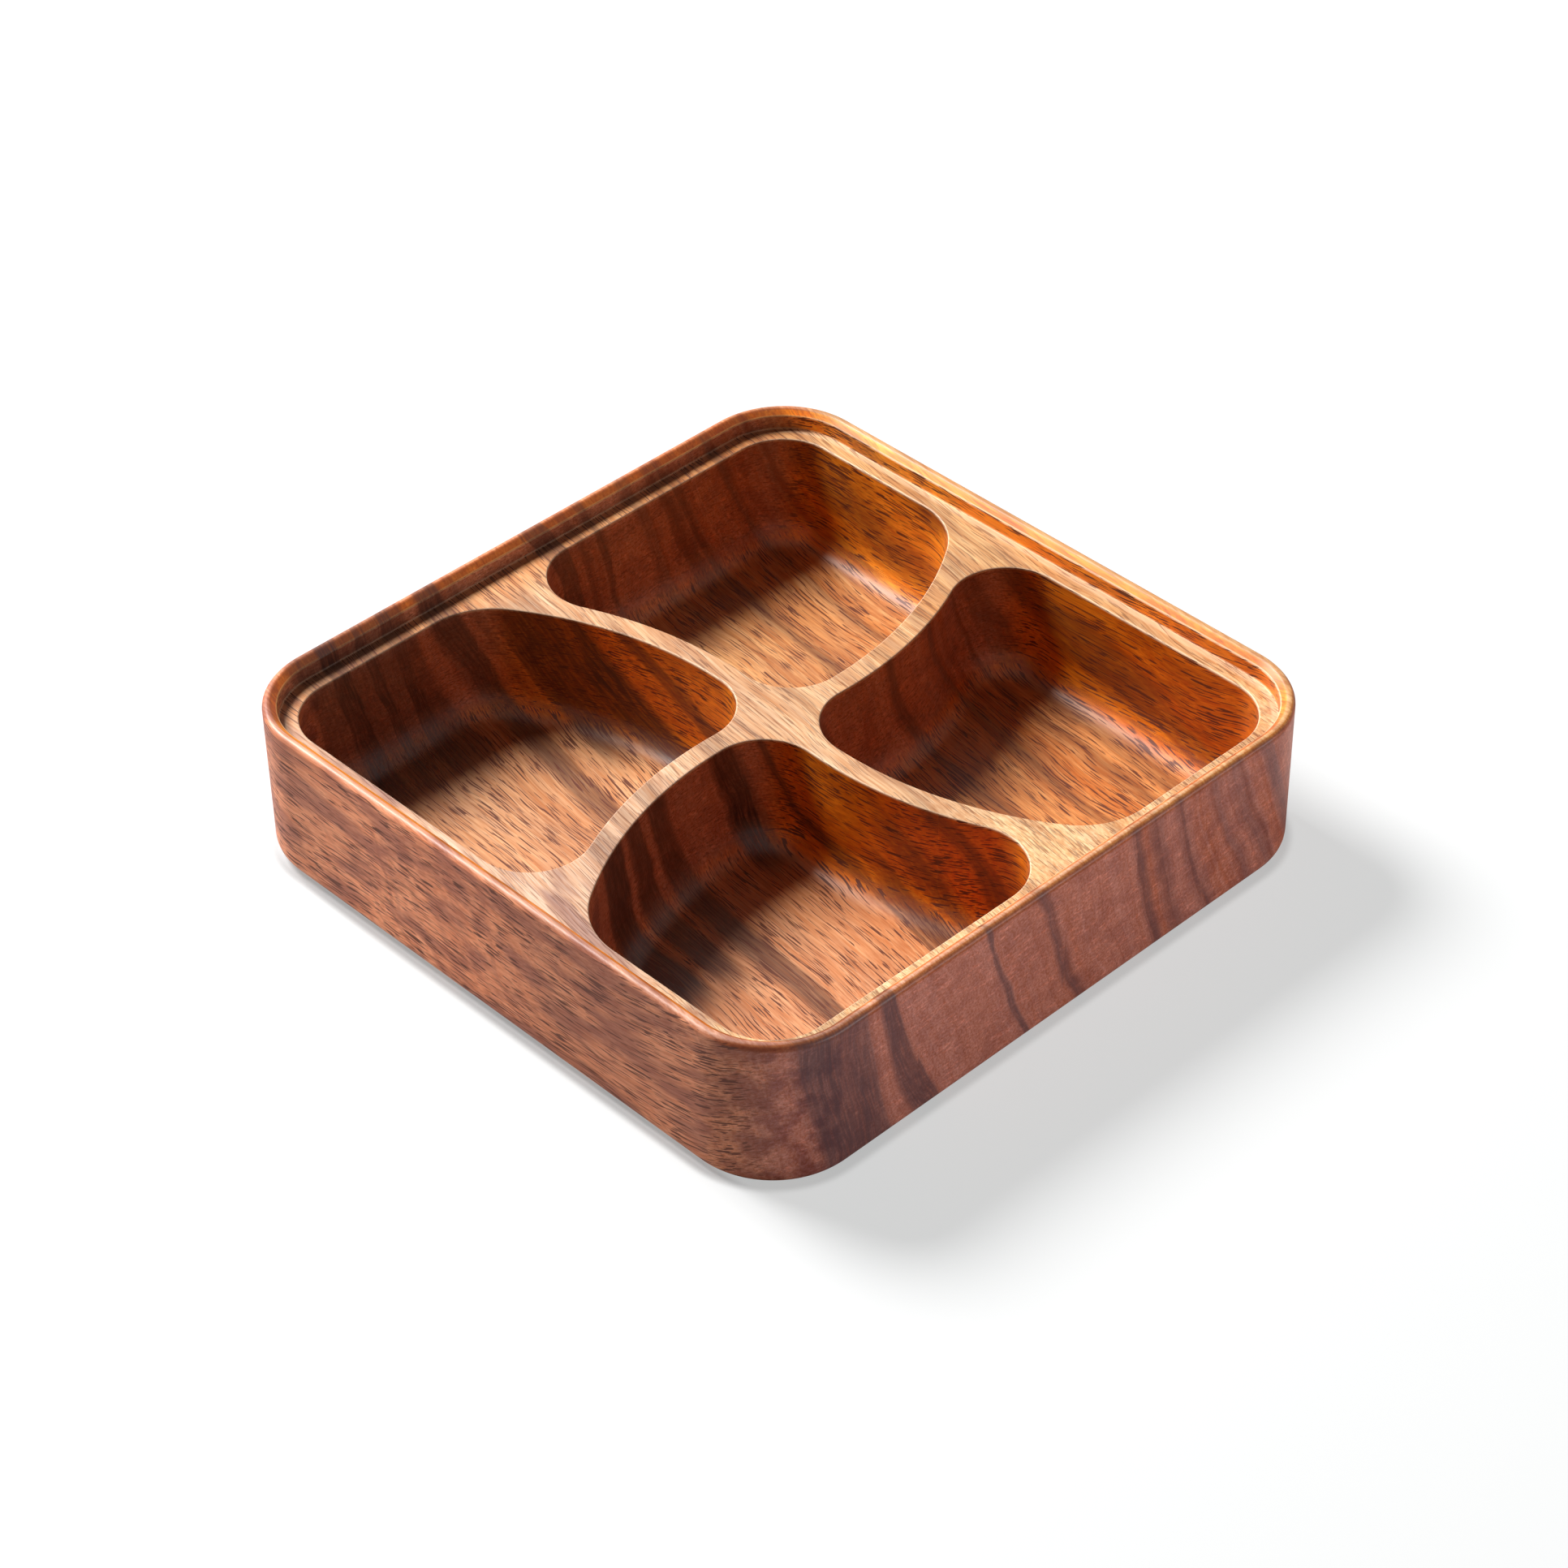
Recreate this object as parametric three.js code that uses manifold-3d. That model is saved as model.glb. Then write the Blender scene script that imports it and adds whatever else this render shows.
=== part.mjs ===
// Compartment serving tray, carved from a block of edge-glued hardwood staves.
// Millimetres, +Z up. The origin is the middle of the underside and the grain runs along X.
// Four equal compartments turn round the middle like a pinwheel, below a rebate that seats a lid.

import * as THREE from 'three';
import { mergeVertices } from 'three/addons/utils/BufferGeometryUtils.js';
import Module from 'manifold-3d';

// Block
const TRAY_SIDE = 250;
const TRAY_HEIGHT = 56;
const CORNER_RADIUS = 31;
const BASE_EDGE_RADIUS = 4.5;

// Rim and lid seat, from the outside in
const RIM_EDGE_RADIUS = 1.8;
const RIM_FLAT = 0.6;
const LEAD_IN_WIDTH = 2.4;
const LEAD_IN_DEPTH = 1.9;
const LID_SEAT_DEPTH = 7;
const LID_SEAT_WIDTH = 6.4;

// Compartments
const FLOOR_THICKNESS = 8;
const FLOOR_FILLET = 11;
const MIDDLE_CORNER_RADIUS = 19.2;
const BROAD_CORNER_RADIUS = 27.3;
const NARROW_CORNER_RADIUS = 19.7;

// Dividers: each bends as one arc from the middle of the tray to a wall
const DIVIDER_THICKNESS = 7.8;
const BEND_REACH = 28;
const BEND_BOW = 2.9;
const BEND_END_OFFSET = 27.7;

// Staves, from the front edge to the back edge, with the finish of each
const STAVE_WIDTH = 32;
const STAVES = [
  { name: 'front_edge_stave', colour: 0xb06a3a },
  { name: 'front_outer_stave', colour: 0xa55f34 },
  { name: 'front_inner_stave', colour: 0xb9743f },
  { name: 'front_middle_stave', colour: 0xae6838 },
  { name: 'back_middle_stave', colour: 0xb46e3c },
  { name: 'back_inner_stave', colour: 0xa96335 },
  { name: 'back_outer_stave', colour: 0xb77240 },
  { name: 'back_edge_stave', colour: 0xb26c3b },
];
const LACQUER_ROUGHNESS = 0.42;

// Facets: how far a flat facet may lie inside a true arc, and how far a cutter runs past a face
const FACET_ERROR = 0.12;
const CUT_MARGIN = 5;

// Sizes that follow from the ones above
const halfSide = TRAY_SIDE / 2;
const rimThickness = RIM_EDGE_RADIUS + RIM_FLAT + LEAD_IN_WIDTH;
const wallThickness = rimThickness + LID_SEAT_WIDTH;
const seatHeight = TRAY_HEIGHT - LID_SEAT_DEPTH;
const pocketReach = halfSide - wallThickness;
const pocketCornerRadius = CORNER_RADIUS - wallThickness;
const tightestCorner = Math.min(
  pocketCornerRadius, MIDDLE_CORNER_RADIUS, BROAD_CORNER_RADIUS, NARROW_CORNER_RADIUS,
);
const floorFillet = Math.min(FLOOR_FILLET, tightestCorner - FACET_ERROR);

const wasm = await Module();
wasm.setup();

const RIGHT_ANGLE = Math.PI / 2;

// Facets that an arc needs to stay within the facet error.
function arcSteps(radius, sweep) {
  const facetAngle = 2 * Math.acos(1 - FACET_ERROR / radius);
  return Math.max(2, Math.ceil(Math.abs(sweep) / facetAngle));
}

// Stations along an arc. Each has its point and the unit direction into the outline,
// which is towards the centre where the outline bulges and away from it where it is hollow.
function arcStations(centre, radius, start, end, bulging) {
  const steps = arcSteps(radius, end - start);
  const stations = [];
  for (let step = 0; step <= steps; step += 1) {
    const angle = THREE.MathUtils.lerp(start, end, step / steps);
    const outward = new THREE.Vector2(Math.cos(angle), Math.sin(angle));
    const point = outward.clone().multiplyScalar(radius).add(centre);
    const inward = outward.clone().multiplyScalar(bulging ? -1 : 1);
    stations.push({ point, inward });
  }
  return stations;
}

function directionAngle(from, to) {
  return Math.atan2(to.y - from.y, to.x - from.x);
}

// The same angle, raised by whole turns until it is past another.
function angleAfter(angle, earlier) {
  const turn = 2 * Math.PI;
  return angle + turn * Math.ceil((earlier - angle) / turn);
}

// Joins arcs that meet at tangent points, keeping each shared station once.
function joinArcs(arcs) {
  return arcs.flatMap((stations, index) => (index === 0 ? stations : stations.slice(1)));
}

// Square outline with round corners, anticlockwise.
function blockOutline() {
  const offset = halfSide - CORNER_RADIUS;
  return [0, 1, 2, 3].flatMap((quarter) => {
    const start = quarter * RIGHT_ANGLE;
    const centre = new THREE.Vector2(offset, offset).rotateAround(new THREE.Vector2(), start);
    return arcStations(centre, CORNER_RADIUS, start, start + RIGHT_ANGLE, true);
  });
}

// The other short side of a right-angled triangle.
function otherLeg(longSide, leg) {
  return Math.sqrt(longSide ** 2 - leg ** 2);
}

// Meeting point of two circles that lies furthest along +X.
function circlesMeeting(firstCentre, firstRadius, secondCentre, secondRadius) {
  const span = secondCentre.clone().sub(firstCentre);
  const distance = span.length();
  const along = (firstRadius ** 2 - secondRadius ** 2 + distance ** 2) / (2 * distance);
  const across = otherLeg(firstRadius, along);
  const unit = span.divideScalar(distance);
  const side = new THREE.Vector2(-unit.y, unit.x).multiplyScalar(across);
  const foot = firstCentre.clone().addScaledVector(unit, along);
  const meetings = [foot.clone().add(side), foot.clone().sub(side)];
  return meetings.sort((a, b) => b.x - a.x)[0];
}

// Outline of the compartment at -X +Y, anticlockwise. The divider on its right bends about one
// centre, and the divider below it is the same bend turned a quarter about the middle of the tray.
function pocketOutline() {
  const reach = pocketReach - BEND_REACH;
  const rise = BEND_BOW + BEND_END_OFFSET;
  const bendRadius = (reach ** 2 + rise ** 2) / (2 * rise);
  const rightBend = new THREE.Vector2(BEND_BOW - bendRadius, BEND_REACH);
  const lowerBend = new THREE.Vector2(-rightBend.y, rightBend.x);
  const insideRadius = bendRadius - DIVIDER_THICKNESS / 2;
  const outsideRadius = bendRadius + DIVIDER_THICKNESS / 2;

  const outerCorner = new THREE.Vector2(pocketCornerRadius - pocketReach, pocketReach - pocketCornerRadius);

  const broadHeight = pocketReach - BROAD_CORNER_RADIUS;
  const broadRun = otherLeg(insideRadius - BROAD_CORNER_RADIUS, broadHeight - rightBend.y);
  const broadCorner = new THREE.Vector2(rightBend.x + broadRun, broadHeight);

  const middleCorner = circlesMeeting(
    rightBend, insideRadius - MIDDLE_CORNER_RADIUS,
    lowerBend, outsideRadius + MIDDLE_CORNER_RADIUS,
  );

  const narrowSide = NARROW_CORNER_RADIUS - pocketReach;
  const narrowRise = otherLeg(outsideRadius + NARROW_CORNER_RADIUS, narrowSide - lowerBend.x);
  const narrowCorner = new THREE.Vector2(narrowSide, lowerBend.y + narrowRise);

  const leftEdge = 2 * RIGHT_ANGLE;
  const narrowEnd = angleAfter(directionAngle(narrowCorner, lowerBend), leftEdge);
  const lowerStart = directionAngle(lowerBend, narrowCorner);
  const lowerEnd = directionAngle(lowerBend, middleCorner);
  const middleStart = directionAngle(middleCorner, lowerBend);
  const rightStart = angleAfter(directionAngle(rightBend, middleCorner), middleStart);
  const rightEnd = angleAfter(directionAngle(rightBend, broadCorner), rightStart);
  const topEdge = angleAfter(RIGHT_ANGLE, rightEnd);

  const outerArc = arcStations(outerCorner, pocketCornerRadius, RIGHT_ANGLE, leftEdge, true);
  const divided = joinArcs([
    arcStations(narrowCorner, NARROW_CORNER_RADIUS, leftEdge, narrowEnd, true),
    arcStations(lowerBend, outsideRadius, lowerStart, lowerEnd, false),
    arcStations(middleCorner, MIDDLE_CORNER_RADIUS, middleStart, rightStart, true),
    arcStations(rightBend, insideRadius, rightStart, rightEnd, true),
    arcStations(broadCorner, BROAD_CORNER_RADIUS, rightEnd, topEdge, true),
  ]);
  return [...outerArc, ...divided];
}

// Quarter-round part of a profile, as pairs of an inset from the outline and a height.
function roundedEdge(radius, start, end, insetAt, heightAt) {
  const steps = arcSteps(radius, end - start);
  return Array.from({ length: steps + 1 }, (_, step) => {
    const angle = THREE.MathUtils.lerp(start, end, step / steps);
    return { inset: insetAt(Math.cos(angle)), height: heightAt(Math.sin(angle)) };
  });
}

// Closed solid with a ring of the outline at each pair of a profile, and flat ends.
function loftedSolid(outline, profile) {
  const count = outline.length;
  const positions = profile.flatMap(({ inset, height }) => outline.flatMap(({ point, inward }) => {
    const ringPoint = point.clone().addScaledVector(inward, inset);
    return [ringPoint.x, ringPoint.y, height];
  }));
  const indices = [];
  for (let ring = 0; ring + 1 < profile.length; ring += 1) {
    for (let station = 0; station < count; station += 1) {
      const lower = ring * count + station;
      const lowerNext = ring * count + ((station + 1) % count);
      indices.push(lower, lowerNext, lowerNext + count, lower, lowerNext + count, lower + count);
    }
  }
  const lastRing = (profile.length - 1) * count;
  const contour = outline.map(({ point }) => point);
  for (const [a, b, c] of THREE.ShapeUtils.triangulateShape(contour, [])) {
    indices.push(c, b, a);
    indices.push(lastRing + a, lastRing + b, lastRing + c);
  }
  const geometry = new THREE.BufferGeometry();
  geometry.setAttribute('position', new THREE.Float32BufferAttribute(positions, 3));
  geometry.setIndex(indices);
  return solidFrom(geometry);
}

function solidFrom(geometry) {
  const bare = geometry.clone();
  bare.deleteAttribute('normal');
  bare.deleteAttribute('uv');
  const merged = mergeVertices(bare);
  return new wasm.Manifold(new wasm.Mesh({
    numProp: 3,
    vertProperties: new Float32Array(merged.attributes.position.array),
    triVerts: new Uint32Array(merged.index.array),
  }));
}

function geometryFrom(solid) {
  const { vertProperties, triVerts } = solid.getMesh();
  const geometry = new THREE.BufferGeometry();
  geometry.setAttribute('position', new THREE.Float32BufferAttribute(vertProperties, 3));
  geometry.setIndex([...triVerts]);
  geometry.computeVertexNormals();
  return geometry;
}

// The block with its rounded underside, its rim and the rebate that seats a lid.
function rebatedBlock() {
  const rimTop = TRAY_HEIGHT - RIM_EDGE_RADIUS;
  const underside = roundedEdge(
    BASE_EDGE_RADIUS, -RIGHT_ANGLE, 0,
    (run) => BASE_EDGE_RADIUS * (1 - run), (lift) => BASE_EDGE_RADIUS * (1 + lift),
  );
  const rimEdge = roundedEdge(
    RIM_EDGE_RADIUS, 0, RIGHT_ANGLE,
    (run) => RIM_EDGE_RADIUS * (1 - run), (lift) => rimTop + RIM_EDGE_RADIUS * lift,
  );
  return loftedSolid(blockOutline(), [
    ...underside,
    ...rimEdge,
    { inset: rimThickness - LEAD_IN_WIDTH, height: TRAY_HEIGHT },
    { inset: rimThickness, height: TRAY_HEIGHT - LEAD_IN_DEPTH },
    { inset: rimThickness, height: seatHeight },
  ]);
}

// The space of one compartment, from its filleted floor to above the lid seat.
function pocketSpace() {
  const floorEdge = roundedEdge(
    floorFillet, -RIGHT_ANGLE, 0,
    (run) => floorFillet * (1 - run), (lift) => FLOOR_THICKNESS + floorFillet * (1 + lift),
  );
  return loftedSolid(pocketOutline(), [
    ...floorEdge,
    { inset: 0, height: seatHeight + CUT_MARGIN },
  ]);
}

function carvedTray() {
  let tray = rebatedBlock();
  for (const quarter of [0, 1, 2, 3]) {
    const turned = pocketSpace().rotate([0, 0, 90 * quarter]);
    tray = tray.subtract(turned);
  }
  return tray;
}

// Glue joints lie a stave apart about the middle of the tray, and the edge staves take up the rest.
function gluePlanes() {
  const middle = STAVES.length / 2;
  const outermost = halfSide + CUT_MARGIN;
  return Array.from({ length: STAVES.length + 1 }, (_, joint) => {
    if (joint === 0) return -outermost;
    if (joint === STAVES.length) return outermost;
    return (joint - middle) * STAVE_WIDTH;
  });
}

// Slab of the block between two glue joints.
function staveSlab(front, back) {
  const length = TRAY_SIDE + 2 * CUT_MARGIN;
  const height = TRAY_HEIGHT + 2 * CUT_MARGIN;
  const slab = new THREE.BoxGeometry(length, back - front, height);
  slab.translate(0, (front + back) / 2, TRAY_HEIGHT / 2);
  return solidFrom(slab);
}

function buildTray() {
  const tray = new THREE.Group();
  const carved = carvedTray();
  const planes = gluePlanes();
  STAVES.forEach(({ name, colour }, index) => {
    const stave = carved.intersect(staveSlab(planes[index], planes[index + 1]));
    const finish = new THREE.MeshStandardMaterial({
      color: colour,
      roughness: LACQUER_ROUGHNESS,
      metalness: 0,
    });
    const mesh = new THREE.Mesh(geometryFrom(stave), finish);
    mesh.name = name;
    tray.add(mesh);
  });
  return tray;
}

export default buildTray();
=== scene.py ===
import math

import bmesh
import bpy
from mathutils import Matrix, Vector


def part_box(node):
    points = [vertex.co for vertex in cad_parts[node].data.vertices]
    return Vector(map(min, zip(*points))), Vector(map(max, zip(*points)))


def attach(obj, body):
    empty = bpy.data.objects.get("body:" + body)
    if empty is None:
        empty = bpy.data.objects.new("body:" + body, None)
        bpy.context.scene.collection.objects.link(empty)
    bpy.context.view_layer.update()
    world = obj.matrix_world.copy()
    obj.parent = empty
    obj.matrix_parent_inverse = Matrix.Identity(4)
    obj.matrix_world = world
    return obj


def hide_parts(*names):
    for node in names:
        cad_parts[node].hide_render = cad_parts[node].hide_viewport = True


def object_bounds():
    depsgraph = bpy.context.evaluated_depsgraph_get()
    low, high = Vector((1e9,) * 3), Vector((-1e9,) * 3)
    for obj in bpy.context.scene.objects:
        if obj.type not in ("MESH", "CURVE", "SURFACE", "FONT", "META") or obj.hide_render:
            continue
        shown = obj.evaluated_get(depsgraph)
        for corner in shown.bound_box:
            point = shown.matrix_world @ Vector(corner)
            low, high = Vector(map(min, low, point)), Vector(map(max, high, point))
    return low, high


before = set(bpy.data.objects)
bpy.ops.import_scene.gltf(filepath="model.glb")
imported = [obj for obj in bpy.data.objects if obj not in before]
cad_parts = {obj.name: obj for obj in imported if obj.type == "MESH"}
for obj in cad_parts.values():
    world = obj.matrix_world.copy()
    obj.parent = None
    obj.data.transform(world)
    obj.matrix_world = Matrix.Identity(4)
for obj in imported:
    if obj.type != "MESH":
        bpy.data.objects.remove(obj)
cad_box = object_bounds()

# Sizes in metres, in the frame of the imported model.
MM = 0.001
TRAY_HEIGHT = cad_box[1].z
HALF_SIDE = cad_box[1].x
CORNER_RADIUS = 31 * MM
BASE_EDGE_RADIUS = 4.5 * MM
RIM_EDGE_RADIUS = 1.8 * MM
RIM_FLAT = 0.6 * MM
LEAD_IN_WIDTH = 2.4 * MM
LEAD_IN_DEPTH = 1.9 * MM
RIM_THICKNESS = RIM_EDGE_RADIUS + RIM_FLAT + LEAD_IN_WIDTH
LID_SEAT_DEPTH = 7 * MM
LID_SEAT_WIDTH = 6.4 * MM
SEAT_HEIGHT = TRAY_HEIGHT - LID_SEAT_DEPTH
FLOOR_THICKNESS = 8 * MM
FLOOR_FILLET = 11 * MM
POCKET_REACH = HALF_SIDE - RIM_THICKNESS - LID_SEAT_WIDTH
POCKET_CORNER_RADIUS = CORNER_RADIUS - RIM_THICKNESS - LID_SEAT_WIDTH
MIDDLE_CORNER_RADIUS = 19.2 * MM
BROAD_CORNER_RADIUS = 27.3 * MM
NARROW_CORNER_RADIUS = 19.7 * MM
DIVIDER_THICKNESS = 7.8 * MM
BEND_REACH = 28 * MM
BEND_BOW = 2.9 * MM
BEND_END_OFFSET = 27.7 * MM

# Sanded edges, all small.
CROWN_EASE = 0.5 * MM
ARRIS_EASE = 0.3 * MM
SEAT_CORNER_EASE = 0.5 * MM
POCKET_EDGE_EASE = 0.6 * MM

# Steps in each curve.
CORNER_STEPS = 32
EDGE_STEPS = 8
EASE_STEPS = 3
FILLET_STEPS = 14
BEND_STEPS = 60
SMALL_ARC_STEP = math.radians(3)
CLOSE = 0.02 * MM
SAW_ACCURACY = 0.001 * MM
RING_SLACK = 0.1 * MM
PLUG_OVERSHOOT = 5 * MM
SEAT_CLEARANCE = 2 * MM
SHARP_ANGLE = math.radians(60)
SMOOTH_ANGLE = math.radians(32)


def leave_edit():
    if bpy.context.mode != "OBJECT":
        bpy.ops.object.mode_set(mode="OBJECT")


def pick_only(obj):
    leave_edit()
    bpy.ops.object.select_all(action="DESELECT")
    obj.select_set(True)
    bpy.context.view_layer.objects.active = obj


def edit(obj):
    pick_only(obj)
    bpy.ops.object.mode_set(mode="EDIT")
    bpy.ops.mesh.select_mode(type="EDGE")


def pick_edges(obj, wanted):
    bpy.ops.mesh.select_all(action="DESELECT")
    mesh = bmesh.from_edit_mesh(obj.data)
    for edge in mesh.edges:
        edge.select_set(wanted(edge))
    mesh.select_flush_mode()
    bmesh.update_edit_mesh(obj.data)


def pick_faces(obj, wanted):
    bpy.ops.mesh.select_mode(type="FACE")
    bpy.ops.mesh.select_all(action="DESELECT")
    mesh = bmesh.from_edit_mesh(obj.data)
    for face in mesh.faces:
        face.select_set(wanted(face))
    mesh.select_flush_mode()
    bmesh.update_edit_mesh(obj.data)


def level(edge, height):
    return all(abs(v.co.z - height) < CLOSE for v in edge.verts)


def depth_inside(point):
    """How far a point lies inside the tray's outline, seen from above."""
    inner = HALF_SIDE - CORNER_RADIUS
    over_x = abs(point.x) - inner
    over_y = abs(point.y) - inner
    corner = math.hypot(max(over_x, 0), max(over_y, 0))
    return CORNER_RADIUS - corner - min(max(over_x, over_y), 0)


def ring_at(edge, height, inset):
    return level(edge, height) and all(
        abs(depth_inside(v.co) - inset) < RING_SLACK for v in edge.verts
    )


def round_over(radius, steps):
    bpy.ops.mesh.bevel(
        offset=radius, offset_type="OFFSET", segments=steps, profile=0.5,
        affect="EDGES", clamp_overlap=False,
    )


def rebated_block():
    """The squared-up block with round corners and the rim's rebate."""
    bpy.ops.object.select_all(action="DESELECT")
    bpy.ops.mesh.primitive_cube_add(size=1, location=(0, 0, TRAY_HEIGHT / 2))
    block = bpy.context.object
    block.name = "carved_block"
    bpy.ops.transform.resize(value=(2 * HALF_SIDE, 2 * HALF_SIDE, TRAY_HEIGHT))
    bpy.ops.object.transform_apply(location=True, rotation=True, scale=True)
    edit(block)
    pick_edges(block, lambda e: abs(e.verts[0].co.z - e.verts[1].co.z) > CLOSE)
    round_over(CORNER_RADIUS, CORNER_STEPS)
    pick_edges(block, lambda e: level(e, 0))
    round_over(BASE_EDGE_RADIUS, EDGE_STEPS)
    pick_faces(block, lambda f: f.normal.z > 0.9)
    crown = RIM_EDGE_RADIUS + RIM_FLAT
    bpy.ops.mesh.inset(thickness=crown, depth=0, use_even_offset=True)
    bpy.ops.mesh.inset(thickness=LEAD_IN_WIDTH, depth=-LEAD_IN_DEPTH, use_even_offset=True)
    drop = LID_SEAT_DEPTH - LEAD_IN_DEPTH
    bpy.ops.mesh.extrude_region_move(TRANSFORM_OT_translate={"value": (0, 0, -drop)})
    bpy.ops.mesh.select_mode(type="EDGE")
    pick_edges(block, lambda e: ring_at(e, TRAY_HEIGHT, 0))
    round_over(RIM_EDGE_RADIUS, EDGE_STEPS)
    pick_edges(block, lambda e: ring_at(e, TRAY_HEIGHT, crown))
    round_over(CROWN_EASE, EASE_STEPS)
    pick_edges(block, lambda e: ring_at(e, TRAY_HEIGHT - LEAD_IN_DEPTH, RIM_THICKNESS))
    round_over(ARRIS_EASE, EASE_STEPS)
    pick_edges(block, lambda e: ring_at(e, SEAT_HEIGHT, RIM_THICKNESS))
    round_over(SEAT_CORNER_EASE, EASE_STEPS)
    leave_edit()
    return block


def circles_meeting(first, first_radius, second, second_radius):
    """The two points at given distances from two centres."""
    across = second - first
    gap = across.length
    along = (first_radius ** 2 - second_radius ** 2 + gap ** 2) / (2 * gap)
    side = math.sqrt(first_radius ** 2 - along ** 2)
    unit = across / gap
    foot = first + unit * along
    normal = Vector((-unit.y, unit.x))
    return foot + normal * side, foot - normal * side


def heading(start, end):
    return math.atan2(end.y - start.y, end.x - start.x)


def pocket_arcs():
    """Centre, start angle and sweep of the arcs round one compartment, and its first point."""
    reach = POCKET_REACH - BEND_REACH
    rise = BEND_BOW + BEND_END_OFFSET
    bend = (reach ** 2 + rise ** 2) / (2 * rise)
    right = Vector((BEND_BOW - bend, BEND_REACH))
    lower = Vector((-right.y, right.x))
    inside = bend - DIVIDER_THICKNESS / 2
    outside = bend + DIVIDER_THICKNESS / 2

    corner = Vector((-POCKET_REACH + POCKET_CORNER_RADIUS, POCKET_REACH - POCKET_CORNER_RADIUS))
    narrow_x = -POCKET_REACH + NARROW_CORNER_RADIUS
    narrow_reach = outside + NARROW_CORNER_RADIUS
    narrow = Vector((narrow_x, lower.y + math.sqrt(narrow_reach ** 2 - (narrow_x - lower.x) ** 2)))
    middle = max(
        circles_meeting(right, inside - MIDDLE_CORNER_RADIUS, lower, outside + MIDDLE_CORNER_RADIUS),
        key=lambda p: p.x,
    )
    broad_y = POCKET_REACH - BROAD_CORNER_RADIUS
    broad_reach = inside - BROAD_CORNER_RADIUS
    broad = Vector((right.x + math.sqrt(broad_reach ** 2 - (broad_y - right.y) ** 2), broad_y))

    quarter = math.pi / 2
    turn = 2 * math.pi
    narrow_end = heading(narrow, lower) % turn
    lower_start = heading(lower, narrow)
    lower_end = heading(lower, middle)
    middle_start = heading(middle, lower)
    middle_end = heading(right, middle)
    bend_end = heading(right, broad)
    return [
        (corner, POCKET_CORNER_RADIUS, quarter, quarter),
        (narrow, NARROW_CORNER_RADIUS, math.pi, narrow_end - math.pi),
        (lower, outside, lower_start, lower_end - lower_start),
        (middle, MIDDLE_CORNER_RADIUS, middle_start, (middle_end - middle_start) % turn),
        (right, inside, middle_end, bend_end - middle_end),
        (broad, BROAD_CORNER_RADIUS, bend_end, quarter - bend_end),
    ]


def on_arc(centre, radius, angle):
    return Vector((centre.x + radius * math.cos(angle), centre.y + radius * math.sin(angle)))


def pocket_plug():
    """One compartment's shape as a solid, to be taken out of the block."""
    arcs = pocket_arcs()
    here = on_arc(arcs[0][0], arcs[0][1], arcs[0][2])
    bpy.ops.object.select_all(action="DESELECT")
    bpy.ops.mesh.primitive_plane_add(size=1 * MM, location=(here.x, here.y, FLOOR_THICKNESS))
    plug = bpy.context.object
    plug.name = "pocket_plug"
    bpy.ops.object.transform_apply(location=True, rotation=True, scale=True)
    bpy.ops.object.mode_set(mode="EDIT")
    bpy.ops.mesh.select_mode(type="VERT")
    bpy.ops.mesh.select_all(action="SELECT")
    bpy.ops.mesh.merge(type="CENTER")
    for centre, radius, start, sweep in arcs:
        begin = on_arc(centre, radius, start)
        step = begin - here
        if step.length > CLOSE:
            bpy.ops.mesh.extrude_region_move(TRANSFORM_OT_translate={"value": (step.x, step.y, 0)})
        steps = BEND_STEPS if radius > POCKET_REACH else math.ceil(abs(sweep) / SMALL_ARC_STEP)
        bpy.ops.mesh.spin(
            steps=steps, angle=-sweep, center=(centre.x, centre.y, FLOOR_THICKNESS), axis=(0, 0, 1),
            use_auto_merge=False,
        )
        here = on_arc(centre, radius, start + sweep)
    first = on_arc(arcs[0][0], arcs[0][1], arcs[0][2])
    step = first - here
    bpy.ops.mesh.extrude_region_move(TRANSFORM_OT_translate={"value": (step.x, step.y, 0)})
    bpy.ops.mesh.select_all(action="SELECT")
    bpy.ops.mesh.remove_doubles(threshold=CLOSE)
    bpy.ops.mesh.select_all(action="SELECT")
    bpy.ops.mesh.edge_face_add()
    bpy.ops.mesh.select_all(action="SELECT")
    rise = TRAY_HEIGHT - FLOOR_THICKNESS + PLUG_OVERSHOOT
    bpy.ops.mesh.extrude_region_move(TRANSFORM_OT_translate={"value": (0, 0, rise)})
    bpy.ops.mesh.select_all(action="SELECT")
    bpy.ops.mesh.normals_make_consistent(inside=False)
    bpy.ops.mesh.select_mode(type="EDGE")
    pick_edges(plug, lambda e: level(e, FLOOR_THICKNESS))
    round_over(FLOOR_FILLET, FILLET_STEPS)
    leave_edit()
    return plug


def turned_copy(obj, angle):
    pick_only(obj)
    bpy.ops.object.duplicate(linked=False)
    copy = bpy.context.object
    bpy.ops.object.mode_set(mode="EDIT")
    bpy.ops.mesh.select_all(action="SELECT")
    bpy.ops.transform.rotate(value=angle, orient_axis="Z", center_override=(0, 0, 0))
    leave_edit()
    return copy


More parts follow.
